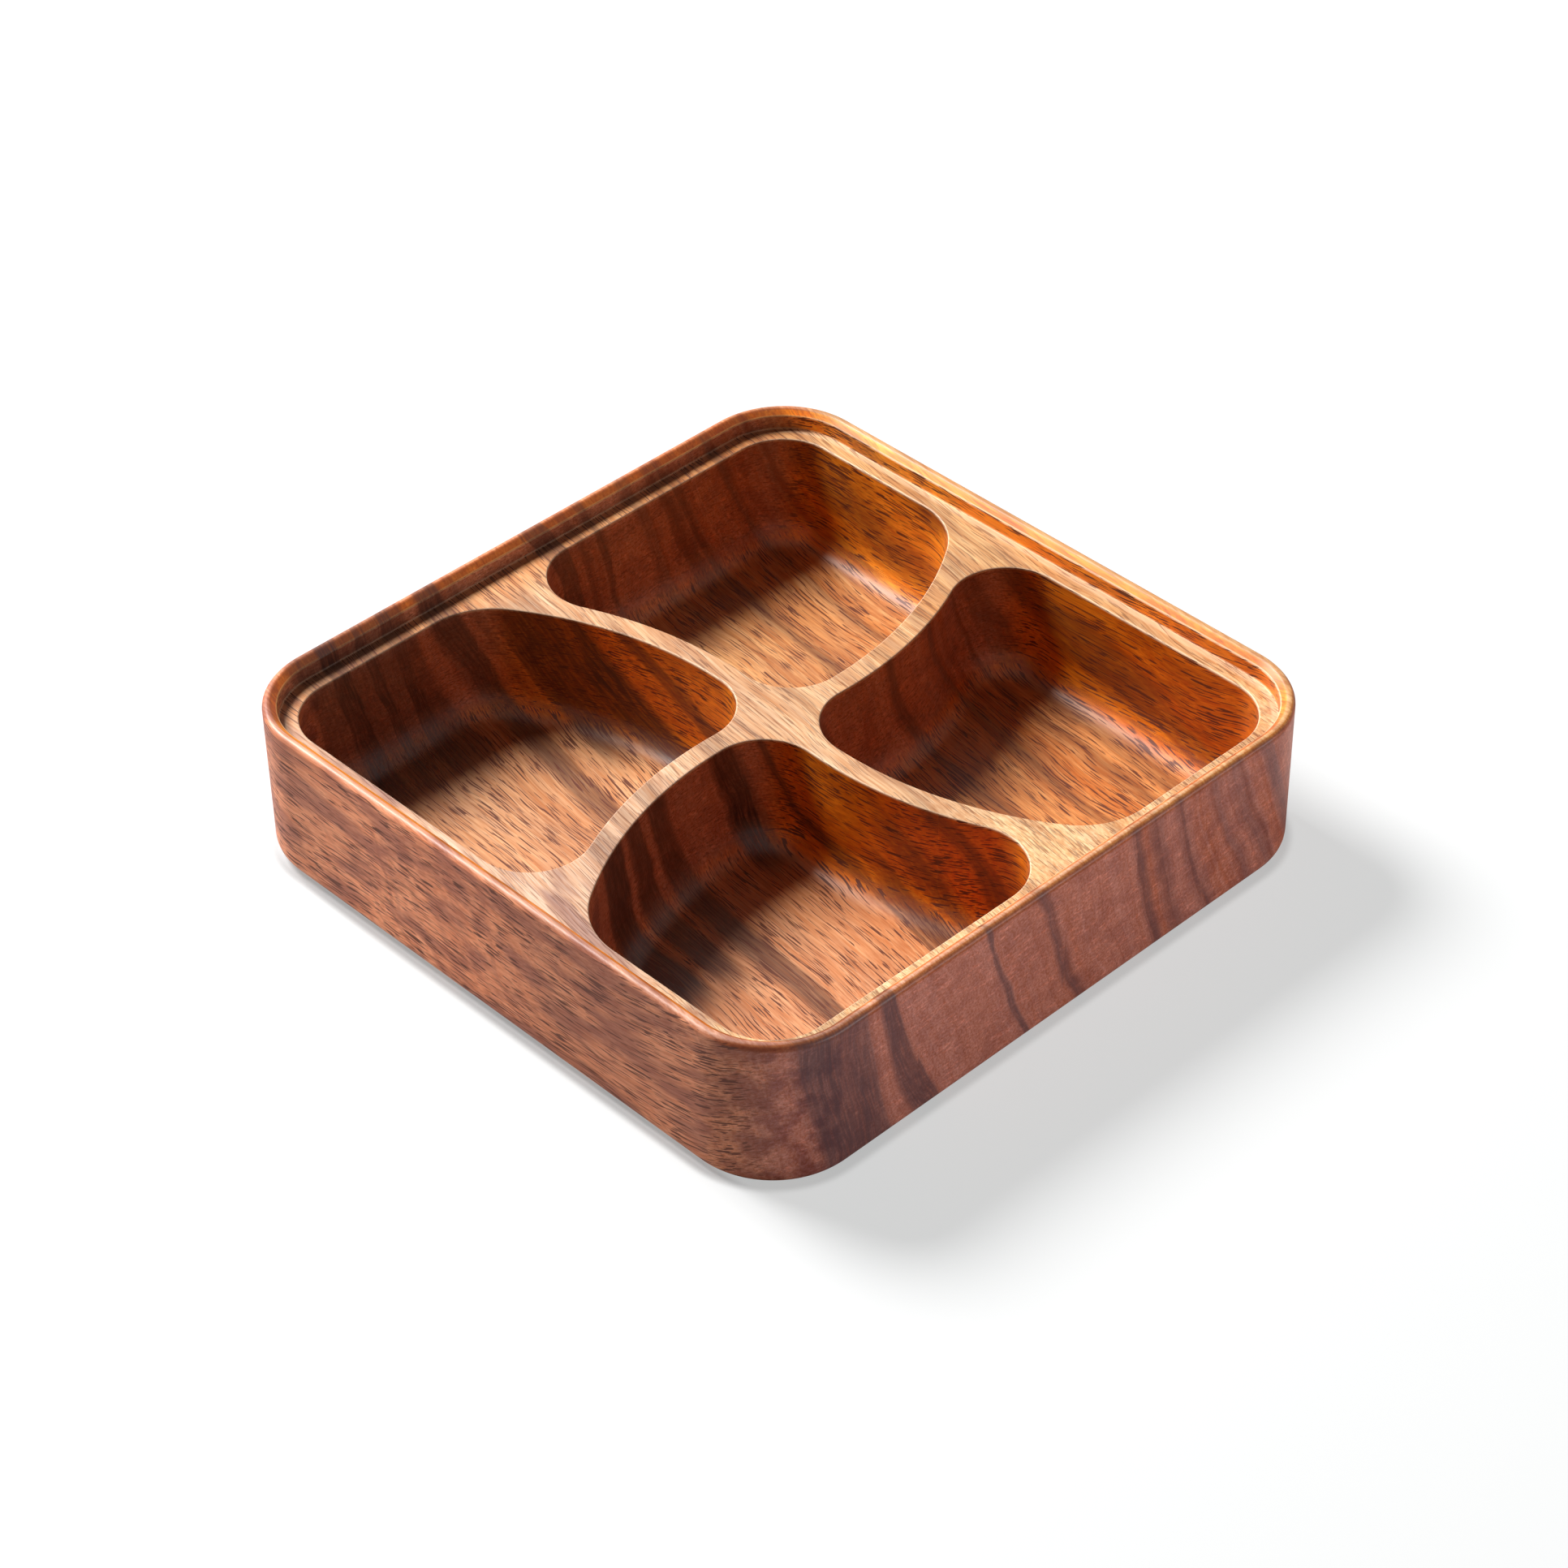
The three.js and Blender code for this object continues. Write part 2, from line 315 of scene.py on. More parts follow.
def carved_tray():
    """The block with its compartments routed out and their edges eased."""
    tray = rebated_block()
    plug = pocket_plug()
    plugs = [plug] + [turned_copy(plug, turn * math.pi / 2) for turn in (1, 2, 3)]
    pick_only(plug)
    for other in plugs[1:]:
        other.select_set(True)
    bpy.ops.object.join()
    pick_only(tray)
    bpy.ops.object.modifier_add(type="BOOLEAN")
    routed = tray.modifiers[-1]
    routed.operation = "DIFFERENCE"
    routed.solver = "EXACT"
    routed.object = plug
    bpy.ops.object.modifier_apply(modifier=routed.name)
    pick_only(plug)
    bpy.ops.object.delete()
    edit(tray)
    pick_edges(
        tray,
        lambda e: level(e, SEAT_HEIGHT)
        and depth_inside(e.verts[0].co) > RIM_THICKNESS + SEAT_CLEARANCE
        and e.calc_face_angle(0) > SHARP_ANGLE,
    )
    round_over(POCKET_EDGE_EASE, EASE_STEPS)
    leave_edit()
    return tray


STAVE_NODES = [
    "front_edge_stave",
    "front_outer_stave",
    "front_inner_stave",
    "front_middle_stave",
    "back_middle_stave",
    "back_inner_stave",
    "back_outer_stave",
    "back_edge_stave",
]


def sawn_stave(tray, node):
    """The part of the tray that lies between a stave's two glue faces."""
    low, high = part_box(node)
    pick_only(tray)
    bpy.ops.object.duplicate(linked=False)
    stave = bpy.context.object
    stave.name = node + "_wood"
    stave.data.name = node + "_wood"
    bpy.ops.object.mode_set(mode="EDIT")
    if low.y > -HALF_SIDE + CLOSE:
        bpy.ops.mesh.select_all(action="SELECT")
        bpy.ops.mesh.bisect(
            plane_co=(0, low.y, 0), plane_no=(0, 1, 0), use_fill=True, clear_inner=True,
            threshold=SAW_ACCURACY,
        )
    if high.y < HALF_SIDE - CLOSE:
        bpy.ops.mesh.select_all(action="SELECT")
        bpy.ops.mesh.bisect(
            plane_co=(0, high.y, 0), plane_no=(0, 1, 0), use_fill=True, clear_outer=True,
            threshold=SAW_ACCURACY,
        )
    leave_edit()
    bpy.ops.object.shade_smooth_by_angle(angle=SMOOTH_ANGLE)
    bpy.ops.object.modifier_add(type="WEIGHTED_NORMAL")
    even = stave.modifiers[-1]
    even.keep_sharp = True
    bpy.ops.object.modifier_apply(modifier=even.name)
    return stave


tray = carved_tray()
staves = {node: sawn_stave(tray, node) for node in STAVE_NODES}
pick_only(tray)
bpy.ops.object.delete()

# The wood. Inside these groups a place is in millimetres, with the grain along X.
VALUE, VECTOR, COLOUR = "NodeSocketFloat", "NodeSocketVector", "NodeSocketColor"


def feed(tree, socket, value):
    if isinstance(value, bpy.types.NodeSocket):
        tree.links.new(value, socket)
    else:
        socket.default_value = value


def maths(tree, operation, first, second=0.0, third=0.0):
    node = tree.nodes.new("ShaderNodeMath")
    node.operation = operation
    for socket, value in zip(node.inputs, (first, second, third)):
        feed(tree, socket, value)
    return node.outputs[0]


def times(tree, first, second):
    return maths(tree, "MULTIPLY", first, second)


def plus(tree, first, second):
    return maths(tree, "ADD", first, second)


def vector_times(tree, vector, factors):
    node = tree.nodes.new("ShaderNodeVectorMath")
    node.operation = "MULTIPLY"
    feed(tree, node.inputs[0], vector)
    feed(tree, node.inputs[1], factors)
    return node.outputs[0]


def apart(tree, vector):
    node = tree.nodes.new("ShaderNodeSeparateXYZ")
    feed(tree, node.inputs[0], vector)
    return node.outputs[0], node.outputs[1], node.outputs[2]


def together(tree, x, y, z):
    node = tree.nodes.new("ShaderNodeCombineXYZ")
    for socket, value in zip(node.inputs, (x, y, z)):
        feed(tree, socket, value)
    return node.outputs[0]


def noise(tree, vector, detail=2.0, roughness=0.5):
    node = tree.nodes.new("ShaderNodeTexNoise")
    feed(tree, node.inputs["Vector"], vector)
    node.inputs["Scale"].default_value = 1
    node.inputs["Detail"].default_value = detail
    node.inputs["Roughness"].default_value = roughness
    return node.outputs[0]


def swing(tree, vector, reach):
    """A slow wander either way, about as far as reach."""
    return maths(tree, "MULTIPLY_ADD", noise(tree, vector, 1), 4 * reach, -2 * reach)


def eased(tree, value, low, high, start=0.0, end=1.0, kind="SMOOTHSTEP"):
    node = tree.nodes.new("ShaderNodeMapRange")
    node.interpolation_type = kind
    for socket, given in zip(node.inputs, (value, low, high, start, end)):
        feed(tree, socket, given)
    return node.outputs[0]


def blended(tree, kind, factor, first, second):
    node = tree.nodes.new("ShaderNodeMix")
    node.data_type = "RGBA"
    node.blend_type = kind
    feed(tree, node.inputs[0], factor)
    feed(tree, node.inputs[6], first)
    feed(tree, node.inputs[7], second)
    return node.outputs[2]


def shaded(tree, colour, value):
    return blended(tree, "MULTIPLY", 1.0, colour, together(tree, value, value, value))


def stretched(tree, vector, along, across):
    return vector_times(tree, vector, (1 / along, 1 / across, 1 / across))


def rest_of(tree, value):
    return maths(tree, "SUBTRACT", 1.0, value)


def between(tree, value, zone):
    """One inside a zone, fading to nothing before its start and after its end."""
    start, end = zone
    return times(tree, eased(tree, value, *start), eased(tree, value, *end, 1, 0))


def new_group(name, inputs, outputs):
    group = bpy.data.node_groups.new(name, "ShaderNodeTree")
    for title, kind, value in inputs:
        socket = group.interface.new_socket(name=title, in_out="INPUT", socket_type=kind)
        if value is not None:
            socket.default_value = value
    for title, kind in outputs:
        group.interface.new_socket(name=title, in_out="OUTPUT", socket_type=kind)
    start = group.nodes.new("NodeGroupInput")
    end = group.nodes.new("NodeGroupOutput")
    return group, start.outputs, end.inputs


def placed_group(tree, group, **values):
    node = tree.nodes.new("ShaderNodeGroup")
    node.node_tree = group
    for title, value in values.items():
        feed(tree, node.inputs[title], value)
    return node.outputs


# The rings stand steep in the block: each runs sideways as it goes down and along.
RING_LEAN = 0.35
FRONT_RING_LEAN = 0.14
RING_SLANT = 0.135
CORNER_RISE = 0.0028
CORNER_RISE_START = 50.0
LEAN_SLANT = 0.105
LEAN_CHANGE = (-80, -55)


def grain_lines_group():
    """A ring number and a straightened fibre place for any point in the wood."""
    tree, given, result = new_group(
        "grain_lines",
        [("Place", VECTOR, None), ("Shift", VALUE, 0.0)],
        [("Ring", VALUE), ("Fibre", VECTOR)],
    )
    place = given["Place"]
    x, y, z = apart(tree, place)
    drift = plus(
        tree,
        swing(tree, stretched(tree, place, 120, 70), 4),
        swing(tree, stretched(tree, place, 36, 22), 1.2),
    )
    side = plus(tree, maths(tree, "MULTIPLY_ADD", x, RING_SLANT, y), drift)
    slanted = maths(tree, "MULTIPLY_ADD", x, LEAN_SLANT, y)
    lean = eased(tree, slanted, *LEAN_CHANGE, FRONT_RING_LEAN, RING_LEAN)
    ring = maths(tree, "MULTIPLY_ADD", z, lean, side)
    feed(tree, result["Ring"], plus(tree, ring, given["Shift"]))
    lift = swing(tree, stretched(tree, place, 70, 40), 2)
    past = maths(tree, "MAXIMUM", maths(tree, "SUBTRACT", x, CORNER_RISE_START), 0.0)
    lift = maths(tree, "MULTIPLY_ADD", times(tree, past, past), -CORNER_RISE, lift)
    feed(tree, result["Fibre"], together(tree, x, side, plus(tree, z, lift)))
    return tree


# Dark streaks: first and last ring of the dark core, how far it fades before and after, depth.
LONG_STREAKS = [
    (-44, -38, 5, 2.5, 0.8),
    (3, 3, 2.5, 2, 0.85),
    (26, 26, 4, 3, 0.7),
    (64, 64, 5, 4, 0.65),
    (87, 87, 5, 3, 0.6),
    (104, 104, 5, 4, 0.45),
    (112, 116, 4, 4, 0.45),
    (128, 131, 4, 3, 0.55),
]
# These show over a part of the board's length only, in the zones below.
LEFT_STREAKS = [
    (-95, -88, 3, 2.5, 0.97),
    (-81, -77, 2.5, 2, 0.95),
    (-70, -64, 3, 3, 0.93),
    (4, 9, 3, 3, 0.7),
    (15, 17, 4, 3, 0.4),
    (46, 47, 4, 3, 0.4),
    (56, 60, 3, 2, 0.5),
]
LEFT_SHADE = [(-104, -58, 5, 5, 0.66), (-31, -30, 4, 3, 0.35)]
MIDDLE_STREAKS = [(-13, -7, 4, 3, 1.0)]
# Painted shadow: a dark streak on the left end of the front-left compartment's back wall, where it lies in
# shade.
PAINTED_SHADOW_STREAKS = [(-26, -13, 4, 4, 0.85)]
NEAR_STREAKS = [(-78, -68, 4, 4, 0.92), (-60, -53, 3, 3, 0.8)]
FLAME_STREAKS = [(5, 9, 4, 3, 0.75), (14, 16, 3, 3, 0.6)]
RIGHT_STREAKS = [
    (-80, -72, 4, 4, 0.85),
    (-66, -61, 3, 4, 0.85),
    (73, 75, 4, 3, 0.5),
]
RIGHT_SHADE = [(-84, -58, 5, 6, 0.8)]
# Zones along X in millimetres: where a set fades in, and where it fades out.
LEFT_ZONE = (-70, -105)
RIGHT_ZONE = (75, 110)
PALER_ZONE = ((-95, -55), (-10, 30))
MIDDLE_ZONE = ((-100, -75), (5, 35))
# Where the painted shadow streak shows.
PAINTED_SHADOW_ZONE = ((-112, -98), (-72, -46))
NEAR_ZONE = ((-15, 0), (40, 58))
FLAME_ZONE = ((42, 58), (92, 108))
FIRST_RING = -150
LAST_RING = 150


def streak_ramp(tree, ring, streaks):
    ramp = tree.nodes.new("ShaderNodeValToRGB")
    ramp.color_ramp.interpolation = "EASE"
    stops = ramp.color_ramp.elements
    stops[0].color = (0, 0, 0, 1)
    stops[1].color = (0, 0, 0, 1)
    for first, last, before, after, depth in streaks:
        core = [(first, depth)] if first == last else [(first, depth), (last, depth)]
        for number, value in [(first - before, 0)] + core + [(last + after, 0)]:
            stop = stops.new((number - FIRST_RING) / (LAST_RING - FIRST_RING))
            stop.color = (value, value, value, 1)
    feed(tree, ramp.inputs[0], eased(tree, ring, FIRST_RING, LAST_RING, kind="LINEAR"))
    return ramp.outputs[0]


def dark_streaks_group():
    tree, given, result = new_group(
        "dark_streaks", [("Ring", VALUE, 0.0), ("Fibre", VECTOR, None)], [("Streak", VALUE)]
    )
    x, _, z = apart(tree, given["Fibre"])
    ring = given["Ring"]
    ragged = swing(tree, together(tree, times(tree, x, 0.03), times(tree, ring, 0.3), 0.0), 1.2)
    worn = plus(tree, ring, ragged)
    at_left = eased(tree, x, *LEFT_ZONE)
    at_right = eased(tree, x, *RIGHT_ZONE)
    dark = streak_ramp(tree, worn, LONG_STREAKS)
    for streaks, where in (
        (LEFT_STREAKS, at_left),
        (LEFT_SHADE, at_left),
        (MIDDLE_STREAKS, between(tree, x, MIDDLE_ZONE)),
        # Painted shadow streak.
        (PAINTED_SHADOW_STREAKS, between(tree, x, PAINTED_SHADOW_ZONE)),
        (NEAR_STREAKS, between(tree, x, NEAR_ZONE)),
        (FLAME_STREAKS, between(tree, x, FLAME_ZONE)),
        (RIGHT_STREAKS, at_right),
        (RIGHT_SHADE, at_right),
    ):
        dark = maths(tree, "MAXIMUM", dark, times(tree, streak_ramp(tree, worn, streaks), where))
    patch = together(tree, times(tree, x, 0.014), times(tree, ring, 0.05), times(tree, z, 0.025))
    broken = eased(tree, noise(tree, patch, 2), 0.3, 0.55, 0.82, 1)
    strand = together(tree, times(tree, x, 0.02), times(tree, ring, 1.3), times(tree, z, 0.12))
    threads = noise(tree, strand, 2, 0.6)
    streak = times(tree, times(tree, dark, broken), eased(tree, threads, 0.3, 0.6, 0.72, 1))
    feed(tree, result["Streak"], streak)
    return tree


def growth_bands_group():
    tree, given, result = new_group(
        "growth_bands", [("Ring", VALUE, 0.0), ("Fibre", VECTOR, None)], [("Band", VALUE), ("Line", VALUE)]
    )
    x = apart(tree, given["Fibre"])[0]
    ring = given["Ring"]
    wide = noise(tree, together(tree, times(tree, x, 0.004), times(tree, ring, 0.07), 3.7), 1)
    narrow = noise(tree, together(tree, times(tree, x, 0.008), times(tree, ring, 0.4), 9.1), 2)
    mixed = maths(tree, "MULTIPLY_ADD", narrow, 0.5, times(tree, wide, 0.5))
    feed(tree, result["Band"], eased(tree, mixed, 0.36, 0.64))
    thin = noise(tree, together(tree, times(tree, x, 0.012), times(tree, ring, 1.1), 5.3), 2, 0.6)
    feed(tree, result["Line"], eased(tree, thin, 0.5, 0.72))
    return tree


def stretched_cells(tree, given):
    """The fibre place, divided by the length, breadth and height of one cell."""
    x, y, z = apart(tree, given["Fibre"])
    return together(
        tree,
        maths(tree, "DIVIDE", x, given["Length"]),
        maths(tree, "DIVIDE", y, given["Breadth"]),
        maths(tree, "DIVIDE", z, given["Height"]),
    )


def pores_group():
    """Short dark dashes along the grain, gathered in drifts."""
    tree, given, result = new_group(
        "pores",
        [
            ("Fibre", VECTOR, None),
            ("Length", VALUE, 12.0),
            ("Breadth", VALUE, 0.6),
            ("Height", VALUE, 0.6),
            ("Bare", VALUE, 0.56),
        ],
        [("Pores", VALUE)],
    )
    place = stretched_cells(tree, given)
    drifts = noise(tree, stretched(tree, given["Fibre"], 22, 7), 2)
    low = maths(tree, "MULTIPLY_ADD", drifts, -0.3, plus(tree, given["Bare"], 0.15))
    feed(tree, result["Pores"], eased(tree, noise(tree, place, 1), low, plus(tree, low, 0.055)))
    return tree


def vessel_lines_group():
    """Long thin lines where a vessel runs in the surface."""
    tree, given, result = new_group(
        "vessel_lines",
        [
            ("Fibre", VECTOR, None),
            ("Length", VALUE, 40.0),
            ("Breadth", VALUE, 1.0),
            ("Height", VALUE, 1.0),
            ("Width", VALUE, 0.17),
        ],
        [("Lines", VALUE)],
    )
    cells = tree.nodes.new("ShaderNodeTexVoronoi")
    cells.inputs["Scale"].default_value = 1
    feed(tree, cells.inputs["Vector"], stretched_cells(tree, given))
    inner = times(tree, given["Width"], 0.6)
    feed(tree, result["Lines"], eased(tree, cells.outputs["Distance"], inner, given["Width"], 1, 0))
    return tree


def ray_flecks_group():
    """Short pale flecks that the rays leave on end grain."""
    tree, given, result = new_group("ray_flecks", [("Fibre", VECTOR, None)], [("Flecks", VALUE)])
    place = vector_times(tree, given["Fibre"], (0.3, 0.22, 0.9))
    feed(tree, result["Flecks"], eased(tree, noise(tree, place, 2, 0.6), 0.52, 0.72))
    return tree


def fine_fibres_group():
    tree, given, result = new_group("fine_fibres", [("Fibre", VECTOR, None)], [("Fibres", VALUE)])
    feed(tree, result["Fibres"], noise(tree, stretched(tree, given["Fibre"], 26, 0.8), 3, 0.6))
    return tree


def wavy_figure_group():
    """Soft darker clouds where the grain dips in and out of the surface."""
    tree, given, result = new_group("wavy_figure", [("Fibre", VECTOR, None)], [("Figure", VALUE)])
    clouds = noise(tree, stretched(tree, given["Fibre"], 30, 8), 3)
    feed(tree, result["Figure"], eased(tree, clouds, 0.4, 0.64))
    return tree


def end_grain_group():
    """How far a surface cuts across the fibres."""
    tree, given, result = new_group("end_grain", [("Facing", VECTOR, None)], [("Across", VALUE)])
    x = apart(tree, given["Facing"])[0]
    feed(tree, result["Across"], eased(tree, maths(tree, "ABSOLUTE", x), 0.25, 0.9))
    return tree


SEAT_HEIGHT_MM = SEAT_HEIGHT / MM
TRAY_HEIGHT_MM = TRAY_HEIGHT / MM
CORNER_PLACE_MM = (HALF_SIDE - CORNER_RADIUS) / MM
ARRIS_HEIGHT_MM = (TRAY_HEIGHT - LEAD_IN_DEPTH) / MM
CROWN_RADIUS_MM = (CORNER_RADIUS - RIM_EDGE_RADIUS - RIM_FLAT) / MM
SEAT_RADIUS_MM = (CORNER_RADIUS - RIM_THICKNESS) / MM


def light_and_shade_masks_group():
    """Masks for the compartments and for painted light and shade: a warm tint on the inner walls, paler
    sheen on the tops, crown and compartment edges, pale highlight lines, a lit back wall of the seat and a
    shaded rounding on the +X end.
    """
    tree, given, result = new_group(
        "light_and_shade_masks",
        [("Place", VECTOR, None), ("Facing", VECTOR, None)],
        [
            ("Inside", VALUE),
            ("Sunk", VALUE),
            ("Painted_bounce_shade", VALUE),
            ("Painted_sheen", VALUE),
            ("Painted_highlight_lines", VALUE),
            ("Painted_lit_lip", VALUE),
            ("Painted_shade_round", VALUE),
        ],
    )
    x, y, z = apart(tree, given["Place"])
    run, _, up = apart(tree, given["Facing"])
    past_x, past_y = (
        maths(tree, "MAXIMUM", maths(tree, "SUBTRACT", maths(tree, "ABSOLUTE", way), CORNER_PLACE_MM), 0.0)
        for way in (x, y)
    )
    out = maths(tree, "SQRT", plus(tree, times(tree, past_x, past_x), times(tree, past_y, past_y)))
    inside = eased(tree, out, CROWN_RADIUS_MM - 0.8, CROWN_RADIUS_MM, 1, 0)
    feed(tree, result["Inside"], inside)
    below = eased(tree, z, SEAT_HEIGHT_MM - 0.6, SEAT_HEIGHT_MM - 0.1, 1, 0)
    feed(tree, result["Sunk"], times(tree, inside, below))
    from_seat = maths(tree, "ABSOLUTE", maths(tree, "SUBTRACT", z, SEAT_HEIGHT_MM))
    at_seat = eased(tree, from_seat, 0.5, 1.2, 1, 0)
    upright = eased(tree, up, 0.75, 0.95, 1, 0)
    # Painted bounce light and shade: the upright walls inside the compartments, least where they face
    # along X, get a warmer, deeper tint for the warm bounce light and deep shade there.
    inner_walls = times(tree, inside, upright)
    inner_walls = times(tree, inner_walls, eased(tree, maths(tree, "ABSOLUTE", run), 0.35, 0.95, 1, 0.15))
    compartments = eased(tree, out, SEAT_RADIUS_MM - 3, SEAT_RADIUS_MM - 2, 1, 0)
    highlighted_pocket_edge = times(tree, at_seat, compartments)
    feed(tree, result["Painted_bounce_shade"], times(tree, inner_walls, rest_of(tree, highlighted_pocket_edge)))
    # Painted sheen: the level seat, the compartments' top edges and the crown are made paler; less so on
    # the front crown and on the left ledge, which lies in the rim's shadow.
    crown = eased(tree, z, TRAY_HEIGHT_MM - 0.9, TRAY_HEIGHT_MM - 0.3)
    crown = times(tree, crown, eased(tree, y, -110, 110, 0.45, 1))
    level_seat = times(tree, at_seat, eased(tree, up, 0.75, 0.95))
    worn = maths(tree, "MAXIMUM", maths(tree, "MAXIMUM", level_seat, highlighted_pocket_edge), crown)
    worn = times(tree, worn, eased(tree, x, -114, -98, 0.25, 1))
    feed(tree, result["Painted_sheen"], times(tree, worn, eased(tree, up, 0.2, 0.6)))
    # Painted highlight: pale lines on the eased compartment edges and along the rim's arris and seat
    # corner.
    highlight_lines = times(tree, highlighted_pocket_edge, eased(tree, up, 0.8, 0.97, 1, 0))
    rebate = times(tree, inside, rest_of(tree, compartments))
    for height, share in ((ARRIS_HEIGHT_MM, 1.0), (SEAT_HEIGHT_MM + 0.2, 0.6)):
        gap = maths(tree, "ABSOLUTE", maths(tree, "SUBTRACT", z, height))
        highlight_lines = maths(tree, "MAXIMUM", highlight_lines, times(tree, rebate, eased(tree, gap, 0.2, 0.45, share, 0)))
    feed(tree, result["Painted_highlight_lines"], highlight_lines)
    # Painted light: the back wall of the lid seat, which the lamp lights at a slant, is made brighter.
    feed(tree, result["Painted_lit_lip"], times(tree, times(tree, rebate, upright), eased(tree, y, 100, 112)))
    # Painted shade: the rim's outer rounding on the +X end, turned away from the lamp, is made darker.
    near_top = eased(tree, z, TRAY_HEIGHT_MM - 2.6, TRAY_HEIGHT_MM - 1.6)
    feed(tree, result["Painted_shade_round"], times(tree, near_top, eased(tree, run, 0.1, 0.35)))
    return tree


HONEY = (0.84, 0.40, 0.145, 1)
AMBER = (0.62, 0.205, 0.05, 1)
RUSSET = (0.28, 0.086, 0.036, 1)
STREAK_BROWN = (0.058, 0.018, 0.012, 1)
END_STREAK_BROWN = (0.085, 0.05, 0.06, 1)
DARK_FIBRE_TINT = (0.8, 0.64, 0.52, 1)
PALE_FIBRE_TINT = (1.12, 1.26, 1.42, 1)
PORE_BROWN = (0.11, 0.027, 0.012, 1)
OUTER_TINT = (1.0, 0.83, 1.08, 1)
# End-grain tints. The blue lift in the first two is a painted haze for end grain in shade; the third gives
# the ends that face the lamp a warmer, lit copy: painted light.
END_GRAIN_AND_SHADE_HAZE_TINT = (0.8, 0.83, 1.32, 1)
INNER_END_GRAIN_AND_SHADE_HAZE_TINT = (0.76, 0.86, 2.0, 1)
PAINTED_LIT_END_TINT = (0.98, 0.8, 0.52, 1)
# Painted bounce light and shade: tints for the compartments' upright walls, on the left and on the right.
PAINTED_BOUNCE_SHADE_LEFT_TINT = (1.36, 0.98, 0.17, 1)
PAINTED_BOUNCE_SHADE_RIGHT_TINT = (1.16, 0.68, 0.07, 1)
# Floor tints for the four compartments: tone, plus a paler, bluer shift on three floors that is painted
# sheen.
FRONT_LEFT_FLOOR_TINT = (0.92, 1.04, 1.4, 1)
FRONT_RIGHT_FLOOR_TINT = (0.98, 0.98, 1.28, 1)
BACK_LEFT_FLOOR_TINT = (1.0, 1.14, 1.28, 1)
BACK_RIGHT_FLOOR_TINT = (1.03, 0.94, 0.82, 1)
# Painted light: brightens the back wall of the lid seat.
PAINTED_LIGHT_LIP_TINT = (1.4, 1.6, 1.5, 1)
# Painted sheen: paler tints for the level tops, the crown and the compartments' top edges, paler still on
# the right-hand seat.
PAINTED_SHEEN_FRONT_TINT = (1.05, 1.52, 2.9, 1)
PAINTED_SHEEN_BACK_TINT = (1.1, 1.45, 1.85, 1)
PAINTED_SHEEN_RIGHT_TINT = (1.28, 1.86, 2.75, 1)
# Painted highlight: the pale colour of those lines.
PAINTED_HIGHLIGHT_PALE = (0.95, 0.72, 0.48, 1)
# Painted shade: the darker colour of that rounding.
PAINTED_SHADE_ROUND_TINT = (0.78, 0.52, 0.24, 1)

# A dash seen on a cut through the wood: its width on the surface, and how deep it goes.
ACROSS = 0.52
THROUGH = 2.4
PORE_LENGTH = 10.0
PORE_BARE = 0.565
VESSEL_LENGTH = 40.0
VESSEL_SPREAD = 1.5
VESSEL_WIDTH = 0.17

# Sheen and relief of the lacquer.
SATIN_ROUGHNESS = 0.37
FIBRE_ROUGHNESS = 0.1
PORE_ROUGHNESS = 0.15
FIBRE_RELIEF = 0.25
RELIEF_STRENGTH = 0.25
RELIEF_DEPTH = 0.1 * MM
MIRROR_LEVEL = 0.26
COAT_WEIGHT = 0.08
COAT_ROUGHNESS = 0.25


